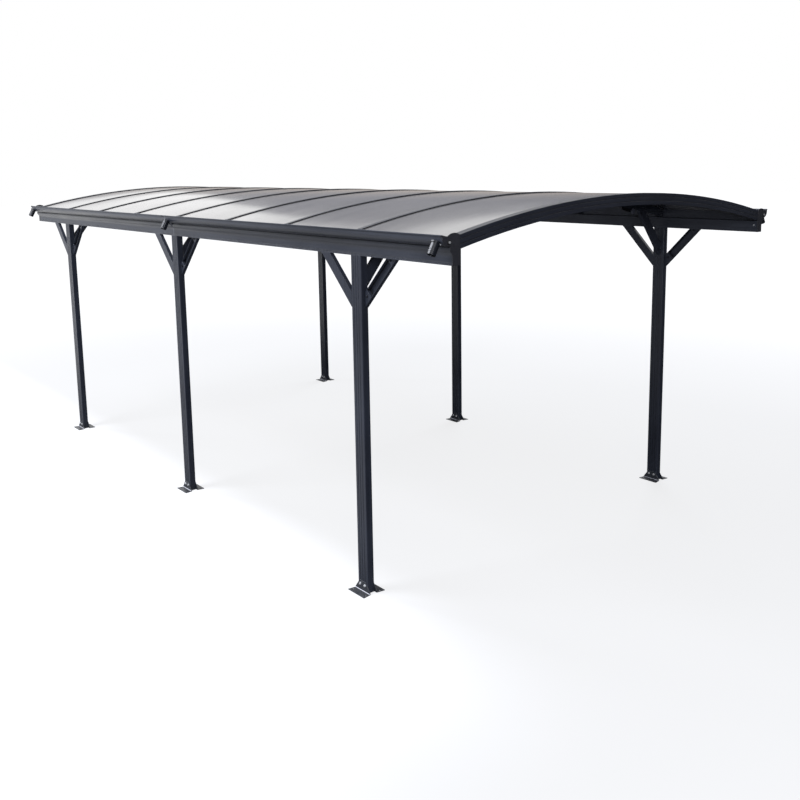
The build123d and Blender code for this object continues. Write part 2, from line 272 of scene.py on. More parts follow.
# %% Smoked polycarbonate
def smoked_sheet():
    """Dyed clear sheet, glossy, bowed in each bay, with fine lines from gutter to gutter."""
    made, tree, output = material("smoked_polycarbonate")
    place = node(tree, "ShaderNodeTexCoord").outputs["Object"]
    along = node(tree, "ShaderNodeMapping", Vector=place, Scale=(0.10, 1.0, 0.10))
    lines = node(tree, "ShaderNodeTexNoise", Vector=along.outputs["Vector"], Scale=per_size(12),
                 Detail=4.0)
    streaks = node(tree, "ShaderNodeTexNoise", Vector=along.outputs["Vector"], Scale=per_size(80),
                   Detail=6.0)
    cloud = node(tree, "ShaderNodeTexNoise", Vector=place, Scale=per_size(650), Detail=3.0)
    specks = node(tree, "ShaderNodeTexNoise", Vector=place, Scale=per_size(16), Detail=6.0)
    spread = node(tree, "ShaderNodeMapRange", Value=streaks.outputs["Fac"], in1=0.35, in2=0.65)
    tint = node(tree, "ShaderNodeMix", in_colour, Factor=spread.outputs["Result"],
                in6=colour("#4C4846"), in7=colour("#625D5A"))
    speck = node(tree, "ShaderNodeMapRange", Value=specks.outputs["Fac"], in1=0.60, in2=0.72,
                 in3=0.0, in4=0.45)
    dusty = node(tree, "ShaderNodeMix", in_colour, Factor=speck.outputs["Result"],
                 in6=tint.outputs[2], in7=colour("#9C9A98"))
    gloss = node(tree, "ShaderNodeMapRange", Value=cloud.outputs["Fac"], in1=0.3, in2=0.7,
                 in3=0.10, in4=0.22)
    split = node(tree, "ShaderNodeSeparateXYZ", Vector=place)
    from_arch = node(tree, "ShaderNodeMath", {"operation": "SUBTRACT"}, in0=split.outputs["Y"],
                     in1=bay_start)
    bays = node(tree, "ShaderNodeMath", {"operation": "DIVIDE"}, in0=from_arch.outputs[0], in1=bay_length)
    part = node(tree, "ShaderNodeMath", {"operation": "FRACT"}, in0=bays.outputs[0])
    rest = node(tree, "ShaderNodeMath", {"operation": "SUBTRACT"}, in0=1.0, in1=part.outputs[0])
    bow = node(tree, "ShaderNodeMath", times, in0=part.outputs[0], in1=rest.outputs[0])
    # The parabola's peak is a quarter, so its distance is four times the bow.
    bowed = node(tree, "ShaderNodeBump", Height=bow.outputs[0], Strength=1.0, Distance=4 * sheet_bow)
    rippled = node(tree, "ShaderNodeBump", Height=lines.outputs["Fac"], Strength=0.05,
                   Distance=1.0 * millimetre, Normal=bowed.outputs["Normal"])
    shader = node(tree, "ShaderNodeBsdfPrincipled", Base_Color=dusty.outputs[2],
                  Roughness=gloss.outputs["Result"], Normal=rippled.outputs["Normal"])
    tree.links.new(bowed.outputs["Normal"], shader.inputs["Coat Normal"])
    shader.inputs["IOR"].default_value = 1.58
    shader.inputs["Transmission Weight"].default_value = 0.06
    shader.inputs["Coat Weight"].default_value = 0.8
    shader.inputs["Coat Roughness"].default_value = 0.10
    tree.links.new(shader.outputs["BSDF"], output.inputs["Surface"])
    return made


sheet_plastic = smoked_sheet()
print("sheet nodes", len(sheet_plastic.node_tree.nodes))

# %% [markdown]
# More finishes serve the small pieces: the moulded caps of the gutters, the glossy pipe of the
# spouts, zinc-plated steel for the bright bolts, black zinc for the others, black rubber for the
# gaskets, and the pale sealant of the beam joints. The zinc has a fine crystalline haze and the
# rubber is dull.


# %% Small finishes
def moulded(name, base, light, roughness, grain_size, bump):
    """Injection-moulded plastic with a spark-eroded grain."""
    made, tree, output = material(name)
    place = node(tree, "ShaderNodeTexCoord").outputs["Object"]
    grain = node(tree, "ShaderNodeTexNoise", Vector=place, Scale=per_size(grain_size), Detail=4.0)
    cloud = node(tree, "ShaderNodeTexNoise", Vector=place, Scale=per_size(40), Detail=3.0)
    tint = node(tree, "ShaderNodeMix", in_colour, Factor=cloud.outputs["Fac"],
                in6=colour(base), in7=colour(light))
    round_edge = node(tree, "ShaderNodeBevel", {"samples": 6}, Radius=3.5 * millimetre)
    relief = node(tree, "ShaderNodeBump", Height=grain.outputs["Fac"], Strength=bump,
                  Distance=0.3 * millimetre, Normal=round_edge.outputs["Normal"])
    shader = node(tree, "ShaderNodeBsdfPrincipled", Base_Color=tint.outputs[2],
                  Roughness=roughness, Normal=relief.outputs["Normal"])
    shader.inputs["IOR"].default_value = 1.5
    tree.links.new(shader.outputs["BSDF"], output.inputs["Surface"])
    return made


def plated(name, base, light, roughness):
    """Zinc-plated steel."""
    made, tree, output = material(name)
    place = node(tree, "ShaderNodeTexCoord").outputs["Object"]
    haze = node(tree, "ShaderNodeTexNoise", Vector=place, Scale=per_size(3), Detail=4.0)
    tint = node(tree, "ShaderNodeMix", in_colour, Factor=haze.outputs["Fac"],
                in6=colour(base), in7=colour(light))
    gloss = node(tree, "ShaderNodeMapRange", Value=haze.outputs["Fac"], in1=0.3, in2=0.7,
                 in3=roughness - 0.06, in4=roughness + 0.08)
    shader = node(tree, "ShaderNodeBsdfPrincipled", Base_Color=tint.outputs[2],
                  Roughness=gloss.outputs["Result"])
    shader.inputs["Metallic"].default_value = 1.0
    tree.links.new(shader.outputs["BSDF"], output.inputs["Surface"])
    return made


cap_plastic = moulded("moulded_nylon", "#252529", "#2F2E33", roughness=0.50, grain_size=2.5, bump=0.12)
spout_plastic = moulded("extruded_pvc_pipe", "#16181D", "#1E2026", roughness=0.26, grain_size=6, bump=0.02)
rubber = moulded("epdm_rubber", "#0C0C0E", "#161618", roughness=0.7, grain_size=2, bump=0.2)
sealant = moulded("silicone_sealant", "#8C8D92", "#A9AAAE", roughness=0.55, grain_size=3, bump=0.1)
zinc = plated("zinc_plated_steel", "#D0D2D5", "#ECEDEE", roughness=0.55)
grey_plastic = moulded("moulded_polyamide", "#4C4E58", "#5A5C66", roughness=0.55, grain_size=2, bump=0.1)
black_zinc = plated("black_zinc_steel", "#3A3B41", "#4B4C53", roughness=0.38)
print("materials", len(bpy.data.materials))

# %% [markdown]
# Each node of the frame takes its finish by what it is. The node's own mesh stays as it is.

# %% Dress the frame
finishes = (("roof_sheet", sheet_plastic), ("foot", foot_coat), ("end_caps", cap_plastic),
            ("spouts", spout_plastic), ("inner_arch", bar_coat), ("arch", arch_coat),
            ("beam", beam_coat_painted_lighter))
for name, piece in nodes.items():
    fitting = [coat for word, coat in finishes if word in name]
    piece.data.materials.clear()
    piece.data.materials.append(fitting[0] if fitting else post_coat)
print("nodes dressed", len(nodes))

# %% [markdown]
# The hardware is placed from the frame itself. The boxes of a few nodes give the lines of the
# posts and beams. The radius of the roof follows from one arch: its crest lies on the outer
# radius, and the lower corners of its ends lie on the inner one.

# %% Places on the frame
rows = ("front", "middle", "rear")
sides = {"left": -1, "right": 1}
ends = {"front": -1, "rear": 1}
post_low, post_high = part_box("middle_right_post")
half_line = (post_low.x + post_high.x) / 2
post_half = (post_high.x - post_low.x) / 2
post_y = {row: sum(corner.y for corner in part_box(row + "_left_post")) / 2 for row in rows}
beam_low, beam_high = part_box("left_beam_front")
underside = beam_low.z
beam_end = -beam_low.y
lip_x = -beam_low.x
cap_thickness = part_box("beam_end_caps")[1].y - beam_end
arch_low, arch_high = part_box("inner_arch_4")
arch_depth = 0.062            # of an arch's section, from its outer radius to its inner one
wall_x = arch_high.x
rise = arch_high.z - arch_low.z
roof_radius = (wall_x ** 2 + rise ** 2 - arch_depth ** 2) / (2 * (rise - arch_depth))
roof_axis = arch_high.z - roof_radius
print("post line", round(half_line, 4), "beam end", round(beam_end, 4))
print("roof radius", round(roof_radius, 3))


# %% [markdown]
# Small pieces are modelled once, at the origin, with their foot on the XY plane and their head
# up the Z axis. A copy is then turned and moved to its place, and the turn is written into its
# mesh, so that the object itself stays at the origin.


# %% Helpers for edit mode
merge_distance = 0.00001      # points closer than this are one


def start_clean():
    """Leave nothing selected, so that an operator acts on new pieces alone."""
    if bpy.context.object and bpy.context.object.mode != "OBJECT":
        bpy.ops.object.mode_set(mode="OBJECT")
    bpy.ops.object.select_all(action="DESELECT")


def choose_faces(test):
    """In edit mode, select the faces of the active mesh that pass the test."""
    bpy.ops.mesh.select_mode(type="FACE")
    bpy.ops.mesh.select_all(action="DESELECT")
    bpy.ops.object.mode_set(mode="OBJECT")
    for face in bpy.context.object.data.polygons:
        face.select = test(face)
    bpy.ops.object.mode_set(mode="EDIT")


def choose_edges(test):
    """In edit mode, select the edges of the active mesh whose two ends pass the test."""
    bpy.ops.mesh.select_mode(type="EDGE")
    bpy.ops.mesh.select_all(action="DESELECT")
    bpy.ops.object.mode_set(mode="OBJECT")
    mesh = bpy.context.object.data
    for edge in mesh.edges:
        edge.select = test(mesh.vertices[edge.vertices[0]].co, mesh.vertices[edge.vertices[1]].co)
    bpy.ops.object.mode_set(mode="EDIT")


def choose_top_rim(height):
    """In edit mode, select the edges that lie in the top face of a piece this tall."""
    choose_edges(lambda a, b: a.z > height * 0.9 and b.z > height * 0.9)


def standing_cylinder(corners, radius, height, lift=0.0):
    """A new cylinder, its foot at height lift, left in edit mode."""
    start_clean()
    bpy.ops.mesh.primitive_cylinder_add(vertices=corners, radius=radius, depth=height,
                                        location=(0, 0, lift + height / 2))
    bpy.ops.object.transform_apply(location=True)
    bpy.ops.object.mode_set(mode="EDIT")


def finished(name):
    """Leave edit mode, and name the active piece."""
    bpy.ops.object.mode_set(mode="OBJECT")
    bpy.context.object.name = name
    return bpy.context.object


start_clean()
print("selected", len(bpy.context.selected_objects))


# %% Helpers for pieces
def join(name, *parts):
    """Join these objects into one, named name."""
    start_clean()
    for part in parts:
        part.select_set(True)
    bpy.context.view_layer.objects.active = parts[0]
    if len(parts) > 1:
        bpy.ops.object.join()
    parts[0].name = name
    return parts[0]


def ready(piece, coat):
    """Give a finished piece its material, and let it ride with the frame."""
    piece.data.materials.clear()
    piece.data.materials.append(coat)
    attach(piece, "root")
    return piece


def place_copy(pattern, place, axis, turn=0.0):
    """Copy a pattern to a place, its Z axis along axis, with its own mesh."""
    piece = bpy.data.objects.new(pattern.name + "_copy", pattern.data.copy())
    bpy.context.collection.objects.link(piece)
    stand = Vector(axis).to_track_quat("Z", "Y").to_matrix().to_4x4()
    piece.data.transform(Matrix.Translation(place) @ stand @ Matrix.Rotation(turn, 4, "Z"))
    return piece


# %% [markdown]
# A hexagon bolt. The head starts as a six-sided cylinder; its top face is inset and raised a
# little, which gives the chamfer of a forged head. The washer is a flat disc whose rim is
# bevelled. An M6 head is 10 mm across its flats and 4 mm tall; the heads on the feet are a little
# larger.


# %% Hexagon bolt and washer
def bolt_head(name, flats, height, lift):
    """Hexagon head whose underside is at height lift."""
    standing_cylinder(6, flats / math.sqrt(3), height, lift)
    choose_faces(lambda face: face.normal.z > 0.9)
    bpy.ops.mesh.inset(thickness=flats * 0.09)
    bpy.ops.transform.translate(value=(0, 0, height * 0.12))
    choose_faces(lambda face: face.normal.z > 0.99)
    bpy.ops.mesh.inset(thickness=flats * 0.16)
    bpy.ops.transform.translate(value=(0, 0, -height * 0.08))
    return finished(name)


def washer_disc(name, radius, thickness):
    """Round washer with a bevelled rim."""
    standing_cylinder(28, radius, thickness)
    choose_top_rim(thickness)
    bpy.ops.mesh.bevel(offset=thickness * 0.3, segments=2)
    return finished(name)


steel_washer = 0.0016         # thicknesses of the washers
rubber_washer = 0.0024
foot_bolt = join("foot_bolt", bolt_head("head", flats=0.011, height=0.0048, lift=steel_washer),
                 washer_disc("disc", radius=0.0078, thickness=steel_washer))
brace_bolt = join("brace_bolt", bolt_head("head", flats=0.010, height=0.0040, lift=steel_washer),
                  washer_disc("disc", radius=0.0075, thickness=steel_washer))
cap_head = bolt_head("cap_head", flats=0.010, height=0.0040, lift=rubber_washer)
cap_washer = washer_disc("cap_washer", radius=0.0115, thickness=rubber_washer)
print("bolt faces", len(foot_bolt.data.polygons))

# %% [markdown]
# A pan-head screw. Its head is a low dome: the top rim of a short cylinder is bevelled in four
# steps, and the middle of the top is inset and pushed in for the driver's recess.


# %% Pan-head screw
def pan_head(name, radius, height):
    """Screw head with a round driver recess."""
    standing_cylinder(24, radius, height)
    choose_top_rim(height)
    bpy.ops.mesh.bevel(offset=height * 0.55, segments=4)
    choose_faces(lambda face: face.normal.z > 0.99)
    bpy.ops.mesh.inset(thickness=radius * 0.20)
    bpy.ops.mesh.extrude_region_move(TRANSFORM_OT_translate={"value": (0, 0, -height * 0.5)})
    bpy.ops.transform.resize(value=(0.7, 0.7, 1.0))
    return finished(name)


screw = pan_head("screw", radius=0.0048, height=0.0034)
print("screw faces", len(screw.data.polygons))

# %% [markdown]
# Every foot grips its post with two bolts through each ear. The heads face out and in, so that
# one pattern serves both sides. They are bright zinc, the only bright metal low on the frame.

# %% Bolts of the feet
ear_thickness = 0.004
foot_bolt_height = 0.040
foot_bolt_spacing = 0.042
for row in rows:
    for side, sign in sides.items():
        bolts = []
        for face in (-1, 1):
            for step in (-1, 1):
                place = Vector((sign * half_line + face * (post_half + ear_thickness),
                                post_y[row] + step * foot_bolt_spacing / 2, foot_bolt_height))
                turn = 0.4 + 0.9 * len(bolts) + post_y[row]     # no two heads are tightened alike
                bolts.append(place_copy(foot_bolt, place, (face, 0, 0), turn))
        ready(join(row + "_" + side + "_foot_bolts", *bolts), zinc)
print("foot bolts", 4 * len(rows) * len(sides))

# %% [markdown]
# The gutters drain through short spouts of round plastic pipe, bent once and cut square. The
# CAD mesh is shaded face by face, which breaks the long highlight of a glossy pipe. So a copy of
# that mesh takes its place: its doubles are merged, the shading it was stored with is cleared, and
# its gentle edges are shaded smooth. The pipe could also be swept anew along a curve, but a copy
# stays exactly where the CAD has it.

# %% Spout pipes
gentle = math.radians(32)     # facets of the pipes meet at less
start_clean()
pipes = bpy.data.objects.new("gutter_spout_pipes", nodes["gutter_spouts"].data.copy())
bpy.context.collection.objects.link(pipes)
pipes.select_set(True)
bpy.context.view_layer.objects.active = pipes
bpy.ops.object.mode_set(mode="EDIT")
bpy.ops.mesh.select_all(action="SELECT")
bpy.ops.mesh.remove_doubles(threshold=merge_distance)
bpy.ops.object.mode_set(mode="OBJECT")
bpy.ops.mesh.customdata_custom_splitnormals_clear()
bpy.ops.object.shade_smooth_by_angle(angle=gentle)
ready(pipes, spout_plastic)
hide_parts("gutter_spouts")
print("spout pipes", len(pipes.data.vertices), "points")

# %% [markdown]
# The moulded cap at each end of a beam is held by one bright bolt on a black rubber washer. A
# small bright screw holds the round of the gutter beside it, one more the inner web, and a black
# one the lip. The screws are copies of one pattern, turned to stand square on each surface.

# %% Bolts and screws of the beam ends
bolt_reach = 0.044            # from the line of the posts
bolt_height = 0.109           # over the beam's underside
round_centre = (0.045, 0.130)     # of the gutter's round, out from the posts and up from the underside
round_place = (0.028, -0.029)     # of its screw from that centre
round_inset = 0.023           # insets of the screws from the beam's end
lip_inset = 0.006
web_inset = 0.025
lip_drop = 0.0045             # under the top of the beam
lip_rise = 0.25               # upward lean of a lip screw
web_height = 0.045
slant = math.radians(-46)
for end, way in ends.items():
    for side, sign in sides.items():
        name = end + "_" + side
        place = Vector((sign * (half_line + bolt_reach), way * (beam_end + cap_thickness),
                        underside + bolt_height))
        cap_bolt = place_copy(cap_head, place, (0, way, 0), 0.3)
        ready(join(name + "_cap_bolt", cap_bolt), zinc)
        washer = place_copy(cap_washer, place, (0, way, 0))
        ready(join(name + "_cap_washer", washer), rubber)
        place = Vector((sign * (half_line + round_centre[0] + round_place[0]),
                        way * (beam_end - round_inset), underside + round_centre[1] + round_place[1]))
        round_screw = place_copy(screw, place, (sign * math.cos(slant), 0, math.sin(slant)))
        place = Vector((sign * lip_x, way * (beam_end - lip_inset), beam_high.z - lip_drop))
        lip_screw = place_copy(screw, place, (sign, 0, lip_rise))
        place = Vector((sign * (half_line - post_half), way * (beam_end - web_inset),
                        underside + web_height))
        web_screw = place_copy(screw, place, (-sign, 0, 0))
        ready(join(name + "_beam_screws", round_screw, web_screw), zinc)
        ready(join(name + "_lip_screw", lip_screw), black_zinc)
print("beam ends dressed", len(ends) * len(sides))

# %% [markdown]
# Each long beam is two lengths that meet over the middle posts. The joint is sealed with a pale
# bead that follows the whole profile. It is cut from the beam's own shape: a copy of its mesh is
# bisected just short of its end, and the thin slice is moved into the gap and swollen a little.
# That follows every lip and groove, which a bead modelled by itself would miss.


# %% Sealed joints of the beams
def joint_slice(name, beam, thickness, swell):
    """A slice of a beam's end, moved into the gap beside it."""
    start_clean()
    slice_piece = bpy.data.objects.new(name, nodes[beam].data.copy())
    bpy.context.collection.objects.link(slice_piece)
    slice_piece.select_set(True)
    bpy.context.view_layer.objects.active = slice_piece
    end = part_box(beam)[1].y
    bpy.ops.object.mode_set(mode="EDIT")
    bpy.ops.mesh.select_all(action="SELECT")
    bpy.ops.mesh.remove_doubles(threshold=merge_distance)
    bpy.ops.mesh.bisect(plane_co=(0, end - thickness, 0), plane_no=(0, 1, 0), use_fill=True,
                        clear_inner=True)
    bpy.ops.mesh.select_all(action="SELECT")
    bpy.ops.mesh.normals_make_consistent(inside=False)
    bpy.ops.transform.translate(value=(0, -end + thickness / 2, 0))
    bpy.ops.transform.shrink_fatten(value=swell)
    bpy.ops.object.mode_set(mode="OBJECT")
    bpy.ops.mesh.customdata_custom_splitnormals_clear()
    return slice_piece


bead_thickness = 0.0022
bead_swell = 0.0004
joint_screw_y = 0.040
for side, sign in sides.items():
    bead = joint_slice(side + "_joint_bead", side + "_beam_front", bead_thickness, bead_swell)
    ready(bead, sealant)
    place = Vector((sign * lip_x, joint_screw_y, beam_high.z - lip_drop))
    lip_screw = place_copy(screw, place, (sign, 0, lip_rise))
    ready(join(side + "_joint_screw", lip_screw), black_zinc)
    print(side, "joint bead faces", len(bead.data.polygons))

# %% [markdown]
# A brace along the beam is bolted through its solid ends, once into the post and once into the
# beam, and the cross brace once near the post. The bolts are black. Their places are worked out
# along the line of each brace, so that they stay on its middle. The two braces of a post stand
# flush with opposite sides of it, and each takes its bolts on the side that stays open.

# %% Bolts of the braces
brace_run = 0.272             # from the middle of the post, along the beam
brace_drop = 0.236            # lower end of a brace under the beam
brace_half = 0.012            # half the thickness of a brace
post_reach = 0.043            # from the middle of the post to its front face
run = Vector((0, brace_run - post_reach, brace_drop))
step_along = run.normalized()
lower_bolt = 0.034            # of the bolts from the brace's lower and upper end
upper_bolt = 0.013
cross_bolt = (0.020, 0.155)   # in from the post's inner face, and under the beam
for row in rows:
    for side, sign in sides.items():
        bolts = []
        for lean in (-1, 1):
            open_x = sign * half_line - lean * (post_half - brace_half) + lean * brace_half
            for along in (lower_bolt, run.length - upper_bolt):
                place = Vector((open_x, post_y[row] + lean * (post_reach + step_along.y * along),
                                underside - brace_drop + step_along.z * along))
                bolts.append(place_copy(brace_bolt, place, (lean, 0, 0), 0.5 * len(bolts)))
        place = Vector((sign * (half_line - post_half - cross_bolt[0]), post_y[row] - brace_half,
                        underside - cross_bolt[1]))
        bolts.append(place_copy(brace_bolt, place, (0, -1, 0), 0.2))
        ready(join(row + "_" + side + "_brace_bolts", *bolts), black_zinc)
print("brace bolts", 5 * len(rows) * len(sides))

# %% [markdown]
# The cross brace meets its arch through a small bracket: a flat bar with round ends, bolted to
# the brace at one end and held to the arch at the other by a knob with a domed cover. The bar
# starts as a disc; half of its rim is pulled out along X, and the plate is then extruded. The
# knob's dome is a cylinder whose rim is bevelled, with a groove around its foot.


# %% Brace bracket
def bracket_bar(name, length, width, thickness):
    """Bar with round ends, from the origin along +X, standing on the XY plane."""
    start_clean()
    bpy.ops.mesh.primitive_circle_add(vertices=32, radius=width / 2, fill_type="NGON")
    bpy.ops.object.mode_set(mode="EDIT")
    bpy.ops.mesh.select_mode(type="VERT")
    bpy.ops.mesh.select_all(action="DESELECT")
    bpy.ops.object.mode_set(mode="OBJECT")
    for vertex in bpy.context.object.data.vertices:
        vertex.select = vertex.co.x > width * 0.02
    bpy.ops.object.mode_set(mode="EDIT")
    bpy.ops.transform.translate(value=(length, 0, 0))
    bpy.ops.mesh.select_all(action="SELECT")
    bpy.ops.mesh.extrude_region_move(TRANSFORM_OT_translate={"value": (0, 0, thickness)})
    bpy.ops.mesh.select_all(action="SELECT")
    bpy.ops.mesh.normals_make_consistent(inside=False)
    choose_top_rim(thickness)
    bpy.ops.mesh.bevel(offset=thickness * 0.2, segments=2)
    return finished(name)


def knob(name, radius, height):
    """Round cover with a domed top and a groove around its foot."""
    standing_cylinder(40, radius, height)
    bpy.ops.mesh.select_all(action="SELECT")
    seam = height * 0.35
    bpy.ops.mesh.bisect(plane_co=(0, 0, seam), plane_no=(0, 0, 1))
    bpy.ops.mesh.bevel(offset=height * 0.06, segments=1)
    choose_faces(lambda face: abs(face.center.z - seam) < height * 0.02 and abs(face.normal.z) < 0.1)
    bpy.ops.mesh.extrude_region_shrink_fatten(TRANSFORM_OT_shrink_fatten={"value": -radius * 0.06})
    choose_top_rim(height)
    bpy.ops.mesh.bevel(offset=height * 0.45, segments=6)
    piece = finished(name)
    bpy.ops.object.shade_smooth_by_angle(angle=math.radians(35))
    return piece


bar_length = 0.106
bar_thickness = 0.003
bar = bracket_bar("bar", bar_length, width=0.026, thickness=bar_thickness)
cover = knob("cover", radius=0.019, height=0.012)
print("bracket faces", len(bar.data.polygons), len(cover.data.polygons))

# %% Brackets at the arches
knob_x = 0.985                # from the middle of the roof
knob_drop = 0.014             # centre of the knob under the arch
bar_tilt = math.radians(13)   # the bar falls towards the post
under_arch = roof_axis + math.sqrt((roof_radius - arch_depth) ** 2 - knob_x ** 2)
for row in rows:
    for side, sign in sides.items():
        place = Vector((sign * knob_x, post_y[row] - brace_half - bar_thickness, under_arch - knob_drop))
        plate = place_copy(bar, Vector((0, 0, 0)), (0, 0, 1))
        stand = Matrix(((sign * math.cos(bar_tilt), math.sin(bar_tilt) * sign, 0), (0, 0, 1),
                        (-math.sin(bar_tilt), math.cos(bar_tilt), 0))).to_4x4()
        plate.data.transform(Matrix.Translation(place) @ stand)
        if stand.determinant() < 0:      # mirrored, so its faces point inwards
            plate.data.flip_normals()
        top = place_copy(cover, place, (0, -1, 0))
        far = place + Vector((sign * bar_length * math.cos(bar_tilt), 0, -bar_length * math.sin(bar_tilt)))
        end_bolt = place_copy(brace_bolt, far, (0, -1, 0), 0.4)
        ready(join(row + "_" + side + "_brace_bracket", plate, end_bolt), black_zinc)
        ready(join(row + "_" + side + "_bracket_cover", top), grey_plastic)
print("brackets", len(rows) * len(sides))

# %% [markdown]
# A strip of black rubber seals each sheet against the cap of the arch beside it. Its section is
# a small flat bar with a rounded top, and it is spun about the axis of the roof, so that it
# follows the sheet exactly from gutter to gutter.


# %% Glazing gaskets
def gasket(name, y, width, height, base_radius, reach):
    """Rubber strip along a sheet, its middle at y, spun about the roof's axis."""
    start_clean()
    half_turn = math.asin(reach / base_radius)
    bpy.ops.mesh.primitive_plane_add(size=1.0, location=(0, 0, 0))
    bpy.ops.object.mode_set(mode="EDIT")
    bpy.ops.transform.resize(value=(height, width, 1))
    choose_edges(lambda a, b: a.x > 0 and b.x > 0)
    bpy.ops.mesh.bevel(offset=height * 0.35, segments=3, affect="VERTICES")
    bpy.ops.object.mode_set(mode="OBJECT")
    strip = bpy.context.object
    stand = Matrix.Rotation(-half_turn, 4, "Y") @ Matrix.Translation((0, 0, base_radius + height / 2)) @ \
        Matrix.Rotation(math.radians(-90), 4, "Y")
    strip.data.transform(Matrix.Translation((0, y, roof_axis)) @ stand)
    bpy.ops.object.mode_set(mode="EDIT")
    bpy.ops.mesh.select_all(action="SELECT")
    bpy.ops.mesh.spin(steps=56, angle=-2 * half_turn, center=(0, y, roof_axis), axis=(0, 1, 0))
    bpy.ops.mesh.select_all(action="SELECT")
    bpy.ops.mesh.remove_doubles(threshold=merge_distance)
    bpy.ops.mesh.normals_make_consistent(inside=False)
    return finished(name)


gasket_width = 0.0025
gasket_height = 0.002
cap_strip = 0.005             # thickness of a cap strip over the sheets
cap_half = 0.015              # half its width
sheet_gap = 0.006             # from the edge of a sheet to the middle of its arch
sheet_count = 8
strips = []
for number in range(1, sheet_count + 1):
    sheet_low, sheet_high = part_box("roof_sheet_" + str(number))
    start_y = sheet_low.y - sheet_gap + cap_half
    end_y = sheet_high.y + sheet_gap - cap_half
    if number == 1:
        start_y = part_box("front_arch")[1].y
    if number == sheet_count:
        end_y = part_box("rear_arch")[0].y
    for at, y in (("front", start_y + gasket_width / 2), ("rear", end_y - gasket_width / 2)):
        strip = gasket("gasket_" + str(number) + "_" + at, y, gasket_width, gasket_height,
                       roof_radius - cap_strip, wall_x)
        strips.append(ready(strip, rubber))
crest = max(vertex.co.z for vertex in strips[0].data.vertices)
print("gaskets", len(strips), "faces each", len(strips[0].data.polygons), "crest", round(crest, 4))

# %% [markdown]
# Light. The sky is a soft pale dome that falls off towards the camera, so the front faces stay
# dark as in the photograph. Reflections get a skyline: a bright sky over a grey edge, which is low
# straight behind the frame and higher on both sides. The glossy roof shows that edge as the border
# between its white rear and its grey front. What the camera sees behind the object is plain white.
# The edge could come from a picture of a sky, but a ramp around the horizon needs no file.


# %% Skyline
smooth = {"interpolation_type": "SMOOTHSTEP"}
tallest = 40          # height in degrees that white on the ramp stands for
# Bearing from the rear towards the right, and height of the skyline, both in degrees.
stops = ((-180, 35), (-110, 14), (-42, 16), (-26, 2), (-8, 2), (8, 6), (15, 8), (20, 7.5),
         (24, 5.5), (26.2, 6), (29, 15), (33, 20), (37, 19), (43, 17), (60, 13), (110, 14), (180, 35))


def skyline_angle(tree, split):
    """Angle of the skyline over the horizon, from a ramp that runs once around."""
    bearing = node(tree, "ShaderNodeMath", {"operation": "ARCTAN2"}, in0=split.outputs["X"],
                   in1=split.outputs["Y"])
    around = node(tree, "ShaderNodeMapRange", Value=bearing.outputs[0], in1=-math.pi, in2=math.pi)
    edge = node(tree, "ShaderNodeValToRGB", Fac=around.outputs["Result"])
    ramp = edge.color_ramp
    while len(ramp.elements) < len(stops):
        ramp.elements.new(0.5)
    # All places come before the colours, because an element that moves may change its number.
    for element, (degrees, height) in zip(ramp.elements, stops):
        element.position = (degrees + 180) / 360
    for element, (degrees, height) in zip(ramp.elements, stops):
        element.color = (height / tallest, height / tallest, height / tallest, 1)
    return node(tree, "ShaderNodeMath", times, in0=edge.outputs["Color"],
                in1=math.radians(tallest)).outputs[0]


def reflected_sky(tree, split):
    """What reflections see: white over the skyline, and grey haze under it, darker to the front."""
    rise_angle = node(tree, "ShaderNodeMath", {"operation": "ARCSINE"}, in0=split.outputs["Z"])
    over = node(tree, "ShaderNodeMath", {"operation": "SUBTRACT"}, in0=rise_angle.outputs[0],
                in1=skyline_angle(tree, split))
    clear = node(tree, "ShaderNodeMapRange", smooth, Value=over.outputs[0],
                 in1=math.radians(-1.2), in2=math.radians(1.8))
    low = node(tree, "ShaderNodeMapRange", Value=rise_angle.outputs[0], in1=0.0, in2=math.radians(9))
    warm = node(tree, "ShaderNodeMapRange", Value=split.outputs["X"], in1=-0.1, in2=0.2)
    haze = node(tree, "ShaderNodeMix", in_colour, Factor=warm.outputs["Result"],
                in6=colour("#A9B0BD"), in7=colour("#B5ABA2"))
    ground = node(tree, "ShaderNodeMix", in_colour, Factor=low.outputs["Result"],
                  in6=haze.outputs[2], in7=colour("#8D8E94"))
    ahead = node(tree, "ShaderNodeMapRange", smooth, Value=split.outputs["Y"], in1=0.40, in2=0.76)
    dim = node(tree, "ShaderNodeMix", in_colour, Factor=ahead.outputs["Result"],
               in6=colour("#484B53"), in7=ground.outputs[2])
    band = node(tree, "ShaderNodeMix", in_colour, Factor=clear.outputs["Result"],
                in6=dim.outputs[2], in7=colour("#FFFFFF"))
    return node(tree, "ShaderNodeBackground", Color=band.outputs[2], Strength=1.15).outputs[0]


print("skyline stops", len(stops))

# %% [markdown]
# The world then gives each kind of ray its own sky. It isn't sampled as a lamp, because only then
# do rough reflections see the skyline too.


# %% World
def straight_view(tree, path):
    """1 for rays that come from the camera, also through a clear surface."""
    return node(tree, "ShaderNodeMath", {"operation": "MAXIMUM"}, in0=path.outputs["Is Camera Ray"],
                in1=path.outputs["Is Transmission Ray"]).outputs[0]


